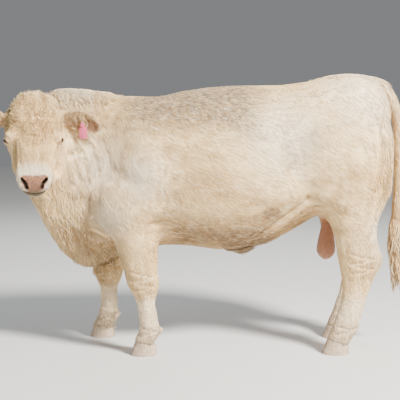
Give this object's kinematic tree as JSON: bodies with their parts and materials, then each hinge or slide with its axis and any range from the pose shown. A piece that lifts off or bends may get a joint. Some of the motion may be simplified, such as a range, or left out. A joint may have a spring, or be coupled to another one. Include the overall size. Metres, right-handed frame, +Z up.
{
  "type": "charolais bull model",
  "caption": "Still life-size model of a standing cream-coated beef bull with its head turned to its left, curly forehead, cloven hooves and a tasselled tail.",
  "frame": {"origin": "on the floor under the middle of the model's bounding box", "axes": "+Z up, the bull faces -X with its left side towards -Y, +X runs to the tail"},
  "size_m": [2.2324, 0.932, 1.4276],
  "materials": {
    "coat": "short cream hair",
    "skin": "bare pinkish brown skin",
    "horn": "dull hoof horn",
    "eye": "wet gloss",
    "hair": "long tan hair",
    "tag": "flexible matte plastic"
  },
  "bodies": {
    "root": {"claw_foreleg_left_inner": "horn", "claw_foreleg_left_outer": "horn", "claw_foreleg_right_inner": "horn", "claw_foreleg_right_outer": "horn", "claw_hindleg_left_inner": "horn", "claw_hindleg_left_outer": "horn", "claw_hindleg_right_inner": "horn", "claw_hindleg_right_outer": "horn", "dewclaw_foreleg_left_inner": "horn", "dewclaw_foreleg_left_outer": "horn", "dewclaw_foreleg_right_inner": "horn", "dewclaw_foreleg_right_outer": "horn", "dewclaw_hindleg_left_inner": "horn", "dewclaw_hindleg_left_outer": "horn", "dewclaw_hindleg_right_inner": "horn", "dewclaw_hindleg_right_outer": "horn", "ear_left": "coat", "ear_right": "coat", "ear_tag": "tag", "eye_left": "eye", "eye_right": "eye", "foreleg_left": "coat", "foreleg_right": "coat", "head": "coat", "hindleg_left": "coat", "hindleg_right": "coat", "neck": "coat", "nose_pad": "skin", "scrotum": "skin", "sheath": "coat", "tag_stud": "tag", "tail": "coat", "tail_switch": "hair", "torso": "coat"}
  },
  "joints": []
}
